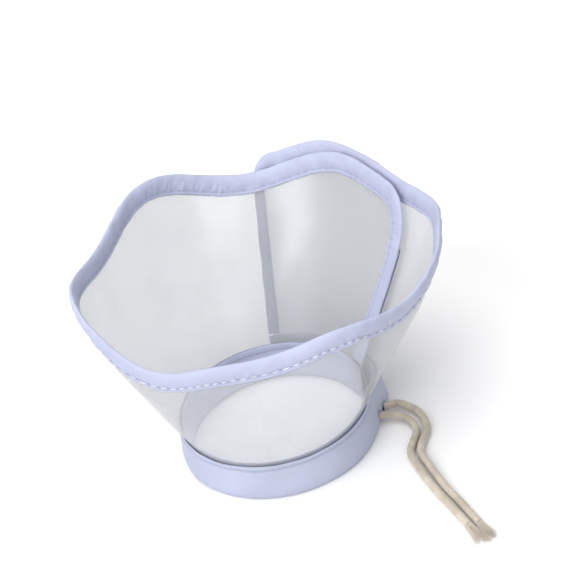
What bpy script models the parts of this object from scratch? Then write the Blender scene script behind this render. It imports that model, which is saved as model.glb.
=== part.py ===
"""Elizabethan collar: a clear film cone with a scalloped rim, rolled up with its ends overlapping.

The film is one flat sheet, bound with folded fabric tape along its scalloped rim and its two straight
ends, and sewn into a folded neck band that carries a drawstring. Its two ends swing open, so the sheet
is divided at two bend lines into a fixed run, an outer end and an inner end.

Metres, +Z up. The collar stands on its neck band, with the cone opening upwards.
"""
import math

import bmesh
import bpy
from mathutils import Vector

# ---------------------------------------------------------------- driving dimensions, in metres and degrees
NECK_RADIUS = 0.048              # middle of the neck band's wall
BAND_HEIGHT = 0.020
CONE_HALF_ANGLE = math.radians(25.3)
CONE_LEAN = 0.102                # sideways lean of the rolled cone, towards +X, per metre of height
SLANT = 0.092                    # mean length of the film from neck seam to rim
PETAL_COUNT = 6                  # petals in one full turn
PETAL_DEPTH = 0.0039             # half of the height from dip to petal tip
PETAL_PHASE = math.radians(-13.5)
ROLL_WAVES = (                   # how the hand-rolled rim departs from level: order, cosine, sine
    (1, 0.0023, 0.0059),
    (2, -0.0014, -0.0050),
    (3, 0.0007, 0.0076),
)
PETAL_TIPS = (                   # petals that stand out further: azimuth, width, height
    (-165.5, 23.0, 0.0266),
    (-25.0, 18.4, 0.0131),
)
ROUND_WAVES = (                  # how the soft cone departs from round, at its mean rim
    (2, -0.0004, 0.0001),
    (3, -0.0004, -0.0044),
)
CURL = math.radians(52.7)        # the front of the rim curls inwards, most here
CURL_AT = -93.8
CURL_WIDTH = 72.3
CURL_REACH = 0.026               # length of the film that curls, below the rim

FILM = 0.0005                    # film thickness
CLOTH = 0.0008                   # tape thickness
BAND_CLOTH = 0.0007
THREAD = 0.0005                  # sewing thread diameter
CORD = 0.0040                    # drawstring diameter
CASED_CORD = 0.0034              # the same cord, squeezed inside the band
GAP = 0.0003                     # between pieces that touch
HAIR = 0.0001                    # spare room on top of a gap

RIM_TAPE = 0.0100                # visible width of the rim tape
OUTER_END_TAPE = 0.0050          # visible width of the tape on the outer end
INNER_END_TAPE = 0.0090          # and on the inner end
FOLD_DEPTH = 0.0012              # rounding of the tape's fold, down the sheet
FOLD_SHOULDER = 0.0004
END_TAPE_FOOT = 0.0016           # the end tapes start this far above the neck seam
SEAM_ABOVE_HEM = 0.0022          # the rim tape's topstitching
END_SEAM_ABOVE_HEM = 0.0014
LAYER_RIM = 0.0052               # the outer end lies this far outside the inner one, at the rim
LAYER_NECK = 0.0068              # and at the neck, where the band is thicker
LAYER_START = -14.0              # the sheet starts to climb over the inner end here
LAYER_RUN = 22.0                 # and is fully outside it after this many degrees
LAYER_EASE = (0.004, 0.030)      # slants where the layers' spacing turns from the neck's to the rim's
OVERLAP_LIFT = 0.0040            # the outer end's last petal stands this much above the inner one
LIFT_START = 45.0
LIFT_RUN = 25.0

# azimuths from +X towards +Y, along the sheet from its outer end to its inner end
OUTER_EDGE = 84.0
OUTER_EDGE_RIM = 76.0            # the outer end's rounded corner meets the rim here
OUTER_CORNER = 0.014             # and starts this far below
OUTER_BEND = 10.0
INNER_BEND = -260.0
INNER_EDGE_RIM = -330.0          # the inner end's corner meets the rim here
INNER_EDGE = -347.5
INNER_CORNER_FOOT = 0.058        # slant at which the inner end's corner starts
STEP = 5.0
END_FILM_STEP = 2.5              # finer where the film has a rounded corner
END_ROWS = 7
CORNER_ROWS = 6
FILM_IN_BAND = 0.0075            # the film reaches this far down into the neck band
FILM_ROWS = (0.0, 0.2, 0.4, 0.6, 0.75, 0.87, 0.95, 1.0)

BAND_PINCH = 0.0004              # room between the film and the neck band's cloth at its top
BAND_PINCH_FOOT = 0.0100         # the band opens below this height, round the cord
BAND_BELLY_TOP = 0.0066
NECK_SEAM = 0.0030               # the band's stitching is this far below its top

CORD_EXITS = (-4.0, -12.0)       # azimuths of the two holes that the drawstring leaves by
CORD_EXIT_HEIGHT = 0.0040
CORD_HOLE = 0.0050
CORD_HOLE_DEPTH = 0.0036
CORD_CLEARANCE = 0.0006          # between the cased cord and the start of a tail

HOOK_STRIP = 0.0010              # thickness of the hook strip
LOOP_STRIP = 0.0009
STRIP_SLANTS = (0.020, 0.066)    # the closure strips' lower and upper ends
STRIP_ACROSS = (0.0042, 0.0065, 0.0088)      # how far in from the inner end's edge they lie

# The tails' knots, east and north of the neck band's rightmost point, and their height: each tail's own
# turn from its hole, then the path that both share, a spacing apart.
TAIL_STRAIGHT = {"back": 0.0070, "front": 0.0059}
TAIL_TURN = {
    "back": ((0.0166, -0.0071, 0.0034), (0.0219, -0.0139, 0.0024), (0.0232, -0.0263, 0.0021)),
    "front": ((0.0140, -0.0157, 0.0034), (0.0175, -0.0216, 0.0024), (0.0172, -0.0290, 0.0021)),
}
TAIL_PATH = (
    (0.0145, -0.0420),
    (0.0165, -0.0560),
    (0.0205, -0.0730),
    (0.0260, -0.0900),
    (0.0310, -0.1060),
)
TAIL_SPACING = 0.0026
TAIL_STEP = 0.0045
FRAY = ((0.0000, 1.0), (0.0030, 1.10), (0.0075, 1.22), (0.0120, 1.30), (0.0130, 1.10))   # length, swelling
FRAY_SIDES = 12


# ---------------------------------------------------------------- the rolled surface
def smooth(x):
    x = min(1.0, max(0.0, x))
    return x * x * (3.0 - 2.0 * x)


def bump(azimuth, middle, width):
    return math.exp(-((azimuth - middle) / width) ** 2)


def rim_slant(azimuth):
    """Length of the film along the slant, from neck seam to rim, at an azimuth in degrees."""
    a = math.radians(azimuth)
    slant = SLANT + PETAL_DEPTH * math.cos(PETAL_COUNT * a - PETAL_PHASE)
    for order, c, s in ROLL_WAVES:
        slant += c * math.cos(order * a) + s * math.sin(order * a)
    for middle, width, height in PETAL_TIPS:
        slant += height * bump(azimuth, middle, width)
    return slant + OVERLAP_LIFT * smooth((azimuth - LIFT_START) / LIFT_RUN)


def round_corner(x):
    """A quarter circle: 0 and level at 0, 1 and upright at 1."""
    x = min(1.0, max(0.0, x))
    return 1.0 - math.sqrt(1.0 - x * x)


def inner_edge(slant):
    """Azimuth of the inner end's edge at a slant: straight, then a rounded corner."""
    rise = rim_slant(INNER_EDGE_RIM) - INNER_CORNER_FOOT
    return INNER_EDGE + (INNER_EDGE_RIM - INNER_EDGE) * round_corner((slant - INNER_CORNER_FOOT) / rise)


def outer_edge(slant):
    foot = rim_slant(OUTER_EDGE_RIM) - OUTER_CORNER
    return OUTER_EDGE + (OUTER_EDGE_RIM - OUTER_EDGE) * round_corner((slant - foot) / OUTER_CORNER)


def layer(azimuth, slant):
    """How far the sheet is pushed out of the plain cone, where its outer end wraps the inner one."""
    around = smooth((azimuth - LAYER_START) / LAYER_RUN)
    up = smooth((slant - LAYER_EASE[0]) / LAYER_EASE[1])
    return around * (LAYER_NECK + (LAYER_RIM - LAYER_NECK) * up)


def curled(azimuth, slant, off):
    """Where the inward curl of the front rim takes a point: along the straight slant, and off it."""
    from_curl = (azimuth - CURL_AT + 180.0) % 360.0 - 180.0
    curl = CURL * bump(from_curl, 0.0, CURL_WIDTH)
    foot = rim_slant(azimuth) - CURL_REACH
    if slant <= foot or curl < 0.001:
        return slant, off
    radius = CURL_REACH / curl
    turn = (slant - foot) / radius
    along = foot + (radius + off) * math.sin(turn)
    return along, (radius + off) * math.cos(turn) - radius


def raw_point(azimuth, slant, off):
    """A point of the sheet before centring. Below the seam, slant is negative and runs straight down."""
    a = math.radians(azimuth)
    radius = NECK_RADIUS + layer(azimuth, slant)
    if slant > 0.0:
        along, out = curled(azimuth, slant, off)
        radius += along * math.sin(CONE_HALF_ANGLE) + out * math.cos(CONE_HALF_ANGLE)
        height = along * math.cos(CONE_HALF_ANGLE) - out * math.sin(CONE_HALF_ANGLE)
        for order, c, s in ROUND_WAVES:
            radius += (c * math.cos(order * a) + s * math.sin(order * a)) * slant / SLANT
    else:
        radius += off
        height = slant
    lean = CONE_LEAN * max(height, 0.0)
    return Vector((radius * math.cos(a) + lean, radius * math.sin(a), BAND_HEIGHT + height))


def collar_centre():
    """Middle of the rim's outline, seen from above: the part's origin."""
    rim = []
    for degree in range(int(INNER_EDGE_RIM), int(OUTER_EDGE_RIM) + 1):
        rim.append(raw_point(degree, rim_slant(degree), FILM + CLOTH))
    low = Vector(min(p[k] for p in rim) for k in range(3))
    high = Vector(max(p[k] for p in rim) for k in range(3))
    middle = (low + high) / 2
    return Vector((middle.x, middle.y, 0.0))


CENTRE = collar_centre()


def point(azimuth, slant, off):
    return raw_point(azimuth, slant, off) - CENTRE


def around(azimuth, slant, distance):
    """The azimuth a distance further round the cone at a slant."""
    return azimuth + math.degrees(distance / (NECK_RADIUS + slant * math.sin(CONE_HALF_ANGLE)))


def end_path(end):
    """Azimuths and slants along an end's edge, from its foot up and round its corner to the rim."""
    edge, rim_azimuth = (outer_edge, OUTER_EDGE_RIM) if end == "outer" else (inner_edge, INNER_EDGE_RIM)
    top = rim_slant(rim_azimuth)
    foot = top - OUTER_CORNER if end == "outer" else INNER_CORNER_FOOT
    slants = [END_TAPE_FOOT + (foot - END_TAPE_FOOT) * k / END_ROWS for k in range(END_ROWS)]
    slants += [foot + (top - foot) * math.sin(math.pi / 2 * k / CORNER_ROWS) for k in range(CORNER_ROWS + 1)]
    return [(edge(slant), slant) for slant in slants]


def inward_point(path, k, inwards, off):
    """A point inwards from a station of an end's edge, square to that edge in the sheet."""
    before = path[max(k - 1, 0)]
    after = path[min(k + 1, len(path) - 1)]
    azimuth, slant = path[k]
    radius = NECK_RADIUS + slant * math.sin(CONE_HALF_ANGLE)
    run = Vector((math.radians(after[0] - before[0]) * radius, after[1] - before[1]))
    if k == len(path) - 1:
        run.y = 0.0
    run.normalize()
    side = -1.0 if path[0][0] > 0.0 else 1.0
    return point(around(azimuth, slant, side * run.y * inwards), slant - side * run.x * inwards, off)


def outward(azimuth):
    """Level direction away from the neck's axis."""
    return Vector((math.cos(math.radians(azimuth)), math.sin(math.radians(azimuth)), 0.0))


def stations(start, stop):
    """Azimuths from start down to stop, about STEP degrees apart."""
    count = max(2, round((start - stop) / STEP))
    return [start + (stop - start) * k / count for k in range(count + 1)]


# ---------------------------------------------------------------- building blocks
def clear_scene():
    for thing in list(bpy.data.objects):
        bpy.data.objects.remove(thing, do_unlink=True)


def new_collection(name):
    collection = bpy.data.collections.new(name)
    bpy.context.scene.collection.children.link(collection)
    return collection


def new_material(name, colour, roughness, metallic=0.0, alpha=1.0):
    material = bpy.data.materials.new(name)
    material.use_nodes = True
    shader = material.node_tree.nodes["Principled BSDF"]
    shader.inputs["Base Color"].default_value = (*colour, 1.0)
    shader.inputs["Roughness"].default_value = roughness
    shader.inputs["Metallic"].default_value = metallic
    shader.inputs["Alpha"].default_value = alpha
    return material


def place(thing, collection, material, axis_empty):
    """Link a piece and hang it on its joint's empty without moving it."""
    thing.data.materials.append(material)
    collection.objects.link(thing)
    thing.parent = axis_empty
    thing.matrix_parent_inverse = axis_empty.matrix_world.inverted()
    return thing


def shell(name, rows, thickness):
    """A closed shell of the given thickness about an open grid of points, rows by columns."""
    mesh_maker = bmesh.new()
    grid = [[mesh_maker.verts.new(p) for p in row] for row in rows]
    for upper, lower in zip(grid, grid[1:]):
        for k in range(len(upper) - 1):
            mesh_maker.faces.new((upper[k], lower[k], lower[k + 1], upper[k + 1]))
    bmesh.ops.recalc_face_normals(mesh_maker, faces=mesh_maker.faces)
    mesh = bpy.data.meshes.new(name)
    mesh_maker.to_mesh(mesh)
    mesh_maker.free()
    mesh.shade_smooth()
    thing = bpy.data.objects.new(name, mesh)
    solid = thing.modifiers.new("thickness", "SOLIDIFY")
    solid.thickness = thickness
    solid.offset = 0.0
    solid.use_even_offset = True
    return thing


def tube(name, points, diameter, resolution):
    """A round cord or thread along a list of points."""
    curve = bpy.data.curves.new(name, "CURVE")
    curve.dimensions = "3D"
    curve.bevel_depth = diameter / 2
    curve.bevel_resolution = resolution
    curve.use_fill_caps = True
    spline = curve.splines.new("POLY")
    spline.points.add(len(points) - 1)
    for knot, p in zip(spline.points, points):
        knot.co = (*p, 1.0)
    return bpy.data.objects.new(name, curve)


def smooth_route(knots, spacing):
    """Points a given spacing apart along a Catmull-Rom curve through the knots."""
    ends = [knots[0] * 2 - knots[1]] + knots + [knots[-1] * 2 - knots[-2]]
    route = [knots[0]]
    for a, b, c, d in zip(ends, ends[1:], ends[2:], ends[3:]):
        pieces = max(1, round((c - b).length / spacing))
        for k in range(1, pieces + 1):
            t = k / pieces
            bend = (b * 2) + (c - a) * t + (a * 2 - b * 5 + c * 4 - d) * t * t
            route.append((bend + (b * 3 - a - c * 3 + d) * t * t * t) / 2)
    return route


# ---------------------------------------------------------------- pieces of the collar
FILM_BELOW_CREST = CLOTH / 2 + FILM + 3 * GAP
TAPE_ROOM = 0.0022               # the film's ends stop this far inside the end tapes' folds
CORNER_ROOM = 0.0034             # and its corners this far below them
FACE = FILM / 2 + GAP + CLOTH    # the tapes' outer face, off the film's middle
BELLY = CASED_CORD / 2 + 2 * GAP + BAND_CLOTH


def film_start(slant):
    return around(outer_edge(slant + CORNER_ROOM), slant, -TAPE_ROOM)


def film_stop(slant):
    return around(inner_edge(slant + CORNER_ROOM), slant, TAPE_ROOM)


def film(name, start_at, stop_at, step):
    """Clear film between two edges, each an azimuth that may depend on the slant."""
    columns = max(2, round((start_at(0.0) - stop_at(0.0)) / step))
    rim_start, rim_stop = start_at(SLANT * 2), stop_at(SLANT * 2)
    rows = []
    for share in (None,) + FILM_ROWS:
        row = []
        for k in range(columns + 1):
            top = rim_slant(rim_start + (rim_stop - rim_start) * k / columns) - FILM_BELOW_CREST
            slant = -FILM_IN_BAND if share is None else GAP + (top - GAP) * share
            start, stop = start_at(slant), stop_at(slant)
            row.append(point(start + (stop - start) * k / columns, slant, 0.0))
        rows.append(row)
    return shell(name, rows, FILM)


def rim_tape_section():
    """Section of the folded tape: distance off the film, and distance above the film's edge."""
    leg = FACE - CLOTH / 2 + HAIR / 2
    shoulder = leg * 0.7
    outer = (
        (leg, -RIM_TAPE),
        (leg, -RIM_TAPE / 2),
        (leg, -FOLD_DEPTH),
        (shoulder, -FOLD_SHOULDER),
    )
    inner = tuple((-off, up) for off, up in reversed(outer))
    return outer + ((0.0, 0.0),) + inner


def rim_tape(name, start, stop):
    """Folded tape over the film's scalloped edge."""
    rows = []
    for azimuth in stations(start, stop):
        crest = rim_slant(azimuth)
        rows.append([point(azimuth, crest + up, off) for off, up in rim_tape_section()])
    return shell(name, rows, CLOTH)


def end_tape(name, end, width):
    """Folded tape over an end of the film, from the neck band up and round the corner to the rim tape."""
    path = end_path(end)
    rows = []
    for k in range(len(path)):
        row = []
        for off, up in rim_tape_section():
            beyond_fold = min(up + FOLD_DEPTH, 0.0)
            inwards = -max(up, -FOLD_DEPTH) - beyond_fold * width / RIM_TAPE
            row.append(inward_point(path, k, inwards, off))
        rows.append(row)
    return shell(name, rows, CLOTH)


def band_section():
    """Section of the neck band, from the outer wall's top down, under the cord and up inside."""
    pinch = FILM / 2 + BAND_PINCH + BAND_CLOTH / 2
    belly = BELLY - BAND_CLOTH / 2
    outer = (
        (pinch, BAND_HEIGHT),
        (pinch, BAND_PINCH_FOOT),
        (belly, BAND_BELLY_TOP),
        (belly, BAND_CLOTH / 2),
    )
    inner = tuple((-off, height) for off, height in reversed(outer))
    return outer + inner


def neck_band(name, start, stop):
    """The folded band, open at its top for the film."""
    rows = []
    for azimuth in stations(start, stop):
        rows.append([point(azimuth, height - BAND_HEIGHT, off) for off, height in band_section()])
    return shell(name, rows, BAND_CLOTH)


def cased_cord(name, start, stop):
    height = BAND_CLOTH + 2 * GAP + CASED_CORD / 2 - BAND_HEIGHT
    route = [point(azimuth, height, 0.0) for azimuth in stations(start, stop)]
    return tube(name, route, CASED_CORD, 2)


def rim_thread(name, start, stop):
    """Topstitching on the outer face of the rim tape, just above its lower edge."""
    off = FACE + GAP + THREAD / 2 + HAIR
    route = []
    for azimuth in stations(start, stop):
        route.append(point(azimuth, rim_slant(azimuth) - RIM_TAPE + SEAM_ABOVE_HEM, off))
    return tube(name, route, THREAD, 1)


def neck_thread(name, start, stop):
    """Stitching that closes the neck band on the film."""
    off = FILM / 2 + BAND_PINCH + BAND_CLOTH + GAP + THREAD / 2 + HAIR
    route = [point(azimuth, -NECK_SEAM, off) for azimuth in stations(start, stop)]
    return tube(name, route, THREAD, 1)


def end_thread(name):
    """Topstitching along the outer end's tape."""
    path = end_path("outer")[1:-2]
    off = FACE + GAP + THREAD / 2 + HAIR
    inwards = OUTER_END_TAPE - END_SEAM_ABOVE_HEM
    return tube(name, [inward_point(path, k, inwards, off) for k in range(len(path))], THREAD, 1)


def closure_strip(name, thickness, off_at):
    """A hook or loop strip, over the tape on the sheet's inner end."""
    low, high = STRIP_SLANTS
    rows = []
    for k in range(END_ROWS + 1):
        slant = low + (high - low) * k / END_ROWS
        row = []
        for inwards in STRIP_ACROSS:
            row.append(point(around(inner_edge(slant), slant, inwards), slant, off_at(slant)))
        rows.append(row)
    return shell(name, rows, thickness)


def loop_strip_off(slant):
    """The loop strip hangs on the inner face of the outer end, which lies over the inner edge."""
    spacing = layer(inner_edge(slant) + 360.0, slant) * math.cos(CONE_HALF_ANGLE)
    return spacing - FILM / 2 - GAP - LOOP_STRIP / 2 - HAIR


def hook_strip_off(slant):
    return FACE + GAP + HOOK_STRIP / 2 + HAIR


def tail_route(name, exit_azimuth, side):
    """A free tail of the drawstring: out of its hole, down to the table, then along it."""
    out = outward(exit_azimuth)
    hole = point(exit_azimuth, CORD_EXIT_HEIGHT - BAND_HEIGHT, 0.0)
    start = hole + out * (CASED_CORD / 2 + GAP + CORD_CLEARANCE)
    east = NECK_RADIUS * Vector((1.0, 0.0, 0.0)) - CENTRE
    knots = [start, start + out * TAIL_STRAIGHT[name]]
    for x, y, height in TAIL_TURN[name]:
        knots.append(Vector((east.x + x, east.y + y, height)))
    for x, y in TAIL_PATH:
        knots.append(Vector((east.x + x + side * TAIL_SPACING, east.y + y, CORD / 2 + HAIR)))
    return smooth_route(knots, TAIL_STEP)


def frayed_end(name, start, heading):
    """The loosened strands at a tail's cut end: a flare that lies flat."""
    across = heading.cross(Vector((0, 0, 1))).normalized()
    mesh_maker = bmesh.new()
    rows = []
    for along, swell in FRAY:
        ring = []
        for k in range(FRAY_SIDES):
            turn = 2 * math.pi * k / FRAY_SIDES
            side = across * math.cos(turn) * CORD / 2 * swell * 0.9
            up = Vector((0, 0, 1)) * math.sin(turn) * CORD / 2 * 0.96
            ring.append(mesh_maker.verts.new(start + heading * along + side + up))
        rows.append(ring)
    for near, far in zip(rows, rows[1:]):
        for k in range(FRAY_SIDES):
            nxt = (k + 1) % FRAY_SIDES
            mesh_maker.faces.new((near[k], near[nxt], far[nxt], far[k]))
    mesh_maker.faces.new(list(reversed(rows[0])))
    mesh_maker.faces.new(rows[-1])
    bmesh.ops.recalc_face_normals(mesh_maker, faces=mesh_maker.faces)
    mesh = bpy.data.meshes.new(name)
    mesh_maker.to_mesh(mesh)
    mesh_maker.free()
    mesh.shade_smooth()
    return bpy.data.objects.new(name, mesh)


def drill(target, name, cutters, places, diameter, length):
    """Round holes through a wall; places holds each hole's centre and direction."""
    for number, (centre, direction) in enumerate(places, start=1):
        bpy.ops.mesh.primitive_cylinder_add(vertices=24, radius=diameter / 2, depth=length)
        cutter = bpy.context.object
        cutter.name = f"{name}_{number}"
        cutter.location = centre
        cutter.rotation_mode = "QUATERNION"
        cutter.rotation_quaternion = direction.to_track_quat("Z", "Y")
        for collection in list(cutter.users_collection):
            collection.objects.unlink(cutter)
        cutters.objects.link(cutter)
        cutter.hide_render = True
        cutter.display_type = "WIRE"
        cut = target.modifiers.new(cutter.name, "BOOLEAN")
        cut.operation = "DIFFERENCE"
        cut.object = cutter


def joint_empty(name, collection, foot, head):
    """An empty on a bend line, its Z axis along the line."""
    empty = bpy.data.objects.new(name, None)
    empty.location = foot
    empty.rotation_mode = "QUATERNION"
    empty.rotation_quaternion = (head - foot).to_track_quat("Z", "Y")
    collection.objects.link(empty)
    bpy.context.view_layer.update()
    return empty


def main():
    clear_scene()
    collar = new_collection("elizabethan_collar")
    cutters = new_collection("cutters")

    clear_film = new_material("clear_film", (0.86, 0.87, 0.89), 0.12, alpha=0.35)
    lavender_tape = new_material("lavender_tape", (0.56, 0.58, 0.78), 0.75)
    lavender_band = new_material("lavender_band", (0.56, 0.58, 0.78), 0.75)
    white_thread = new_material("white_thread", (0.88, 0.88, 0.90), 0.6)
    lavender_thread = new_material("lavender_thread", (0.45, 0.47, 0.62), 0.6)
    cotton_cord = new_material("cotton_cord", (0.60, 0.52, 0.42), 0.9)
    frayed_cotton = new_material("frayed_cotton", (0.66, 0.59, 0.49), 0.95)
    hook_tape = new_material("hook_tape", (0.50, 0.52, 0.68), 0.7)
    loop_tape = new_material("loop_tape", (0.55, 0.57, 0.73), 0.95)

    # bend lines: the outer end turns about a line outside its bend, the inner end about one inside
    stand = joint_empty("collar_frame", collar, Vector((0, 0, 0)), Vector((0, 0, 1)))
    outer_head = point(OUTER_BEND, rim_slant(OUTER_BEND), FACE + GAP)
    outer_axis = joint_empty("outer_end_axis", collar, point(OUTER_BEND, -BAND_HEIGHT, BELLY), outer_head)
    inner_foot = point(INNER_BEND, 0.0, -BELLY)
    inner_axis = joint_empty("inner_end_axis", collar, inner_foot, point(INNER_BEND, SLANT, -BELLY))

    half_gap = math.degrees(GAP / 2 / NECK_RADIUS)
    spare = 2 * half_gap
    runs = (
        ("outer_end", OUTER_EDGE, OUTER_EDGE_RIM, OUTER_BEND + half_gap, outer_axis),
        ("main", OUTER_BEND - half_gap, OUTER_BEND - half_gap, INNER_BEND + half_gap, stand),
        ("inner_end", INNER_BEND - half_gap, INNER_BEND - half_gap, INNER_EDGE, inner_axis),
    )
    for run, start, rim_start, stop, axis in runs:
        rim_stop = INNER_EDGE_RIM + spare if run == "inner_end" else stop
        if run == "outer_end":
            rim_start -= spare
        first = film_start if run == "outer_end" else lambda slant, start=start: start
        last = film_stop if run == "inner_end" else lambda slant, stop=stop: stop
        step = STEP if run == "main" else END_FILM_STEP
        place(film(f"film_{run}", first, last, step), collar, clear_film, axis)
        place(rim_tape(f"rim_tape_{run}", rim_start, rim_stop), collar, lavender_tape, axis)
        thread = rim_thread(f"rim_thread_{run}", rim_start - spare, rim_stop + spare)
        place(thread, collar, white_thread, axis)
        band = place(neck_band(f"neck_band_{run}", start, stop), collar, lavender_band, axis)
        place(neck_thread(f"neck_thread_{run}", start - spare, stop + spare), collar, lavender_thread, axis)
        place(cased_cord(f"cased_cord_{run}", start - spare, stop + spare), collar, cotton_cord, axis)
        if run == "main":
            holes = []
            for azimuth in CORD_EXITS:
                wall = point(azimuth, CORD_EXIT_HEIGHT - BAND_HEIGHT, BELLY - BAND_CLOTH / 2)
                holes.append((wall, outward(azimuth)))
            drill(band, "cord_hole", cutters, holes, CORD_HOLE, CORD_HOLE_DEPTH)

    place(end_tape("end_tape_outer", "outer", OUTER_END_TAPE), collar, lavender_tape, outer_axis)
    place(end_tape("end_tape_inner", "inner", INNER_END_TAPE), collar, lavender_tape, inner_axis)
    place(end_thread("end_thread_outer"), collar, white_thread, outer_axis)
    loop = closure_strip("loop_strip", LOOP_STRIP, loop_strip_off)
    place(loop, collar, loop_tape, outer_axis)
    hook = closure_strip("hook_strip", HOOK_STRIP, hook_strip_off)
    place(hook, collar, hook_tape, inner_axis)

    for name, azimuth, side in (("back", CORD_EXITS[0], 1.0), ("front", CORD_EXITS[1], -1.0)):
        route = tail_route(name, azimuth, side)
        place(tube(f"cord_tail_{name}", route, CORD, 2), collar, cotton_cord, stand)
        heading = (route[-1] - route[-2]).normalized()
        tip = route[-1] + heading * GAP
        place(frayed_end(f"frayed_end_{name}", tip, heading), collar, frayed_cotton, stand)


main()
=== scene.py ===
"""Looks of the elizabethan collar: clear film, folded lavender tape, stitches, neck band and cotton cord.

Every piece is built on the same rolled surface as the CAD model, in metres, with +Z up.
"""
import bisect
import math
import random

import bmesh
import bpy
from mathutils import Matrix, Vector, noise


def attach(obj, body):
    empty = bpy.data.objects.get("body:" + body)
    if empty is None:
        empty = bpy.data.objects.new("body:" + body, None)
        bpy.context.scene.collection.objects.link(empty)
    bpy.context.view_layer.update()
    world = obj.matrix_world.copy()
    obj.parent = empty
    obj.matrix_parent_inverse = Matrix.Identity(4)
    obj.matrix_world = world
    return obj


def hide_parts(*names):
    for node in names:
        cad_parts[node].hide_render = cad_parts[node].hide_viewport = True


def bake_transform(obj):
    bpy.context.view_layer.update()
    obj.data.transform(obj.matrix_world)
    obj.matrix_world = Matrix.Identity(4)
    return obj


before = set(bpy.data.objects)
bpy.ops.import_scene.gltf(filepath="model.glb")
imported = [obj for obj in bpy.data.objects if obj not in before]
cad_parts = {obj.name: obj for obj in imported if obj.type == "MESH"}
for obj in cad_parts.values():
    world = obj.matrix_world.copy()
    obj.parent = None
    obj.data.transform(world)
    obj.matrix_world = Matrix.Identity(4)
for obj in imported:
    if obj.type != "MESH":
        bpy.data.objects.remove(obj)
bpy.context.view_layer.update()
MM = 0.001

# -------- the rolled surface, as in the CAD model
NECK_RADIUS = 48.0 * MM
BAND_HEIGHT = 20.0 * MM
CONE_HALF_ANGLE = math.radians(25.3)
CONE_LEAN = 0.102
SLANT = 92.0 * MM
PETAL_COUNT = 6
PETAL_DEPTH = 3.9 * MM
PETAL_PHASE = math.radians(-13.5)
ROLL_WAVES = (
    (1, 2.3 * MM, 5.9 * MM),
    (2, -1.4 * MM, -5.0 * MM),
    (3, 0.7 * MM, 7.6 * MM),
)
PETAL_TIPS = (
    (-165.5, 23.0, 26.6 * MM),
    (-25.0, 18.4, 13.1 * MM),
)
ROUND_WAVES = (
    (2, -0.4 * MM, 0.1 * MM),
    (3, -0.4 * MM, -4.4 * MM),
)
CURL = math.radians(52.7)  # the front of the rim curls inwards
CURL_AT = -93.8
CURL_WIDTH = 72.3
CURL_REACH = 26.0 * MM
LEAST_CURL = 0.001
OVERLAP_LIFT = 4.0 * MM
LIFT_START = 45.0
LIFT_RUN = 25.0
LAYER_RIM = 5.2 * MM
LAYER_NECK = 6.8 * MM
LAYER_START = -14.0  # the outer end starts to climb over the inner one here
LAYER_RUN = 22.0
LAYER_EASE_START = 4.0 * MM  # slants where the layers' spacing turns from the neck's to the rim's
LAYER_EASE_RUN = 30.0 * MM
OUTER_EDGE = 84.0  # azimuths in degrees, from the sheet's outer end to its inner end
OUTER_EDGE_RIM = 76.0
OUTER_CORNER = 14.0 * MM
OUTER_BEND = 10.0
SPLIT = -100.0  # where the outer and inner halves of each long piece meet
INNER_BEND = -260.0
INNER_EDGE_RIM = -330.0
INNER_EDGE = -347.5
INNER_CORNER_FOOT = 58.0 * MM
CORD_EXITS = {"back": -4.0, "front": -12.0}
CORD_EXIT_HEIGHT = 4.0 * MM
CORD = 4.0 * MM
CASED_CORD = 3.4 * MM
CORD_CLEARANCE = 0.9 * MM  # from the cased cord's side to the start of a tail
FILM = 0.4 * MM
RIM_TAPE = 10.0 * MM
RIM_TAPE_OUT = 1.3 * MM  # from the film's middle to the CAD tape's outer face
OUTER_END_TAPE = 5.0 * MM
INNER_END_TAPE = 9.0 * MM
END_TAPE_FOOT = 1.6 * MM
END_FULLNESS = 0.72  # how full the end tapes' folds are, beside the rim's


def smooth(x):
    x = min(1.0, max(0.0, x))
    return x * x * (3.0 - 2.0 * x)


def bump(x, middle, width):
    return math.exp(-((x - middle) / width) ** 2)


def rim_slant(azimuth):
    """Length of the film along the slant, from neck seam to rim, at an azimuth in degrees."""
    a = math.radians(azimuth)
    slant = SLANT + PETAL_DEPTH * math.cos(PETAL_COUNT * a - PETAL_PHASE)
    for order, c, s in ROLL_WAVES:
        slant += c * math.cos(order * a) + s * math.sin(order * a)
    for middle, width, height in PETAL_TIPS:
        slant += height * bump(azimuth, middle, width)
    return slant + OVERLAP_LIFT * smooth((azimuth - LIFT_START) / LIFT_RUN)


def round_corner(x):
    """Share of a quarter circle's run at a share of its rise."""
    x = min(1.0, max(0.0, x))
    return 1.0 - math.sqrt(1.0 - x * x)


def inner_edge(slant):
    """Azimuth of the inner end's edge at a slant."""
    rise = rim_slant(INNER_EDGE_RIM) - INNER_CORNER_FOOT
    return INNER_EDGE + (INNER_EDGE_RIM - INNER_EDGE) * round_corner((slant - INNER_CORNER_FOOT) / rise)


def outer_edge(slant):
    foot = rim_slant(OUTER_EDGE_RIM) - OUTER_CORNER
    return OUTER_EDGE + (OUTER_EDGE_RIM - OUTER_EDGE) * round_corner((slant - foot) / OUTER_CORNER)


def layer(azimuth, slant):
    """How far the sheet is pushed out of the plain cone, where its outer end wraps the inner one."""
    over = smooth((azimuth - LAYER_START) / LAYER_RUN)
    up = smooth((slant - LAYER_EASE_START) / LAYER_EASE_RUN)
    return over * (LAYER_NECK + (LAYER_RIM - LAYER_NECK) * up)


def curled(azimuth, slant, off):
    """Lengths along the plain cone and out of it, where the front of the rim curls inwards."""
    from_curl = (azimuth - CURL_AT + 180.0) % 360.0 - 180.0
    curl = CURL * bump(from_curl, 0.0, CURL_WIDTH)
    foot = rim_slant(azimuth) - CURL_REACH
    if slant <= foot or curl < LEAST_CURL:
        return slant, off
    radius = CURL_REACH / curl
    turn = (slant - foot) / radius
    return foot + (radius + off) * math.sin(turn), (radius + off) * math.cos(turn) - radius


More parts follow.
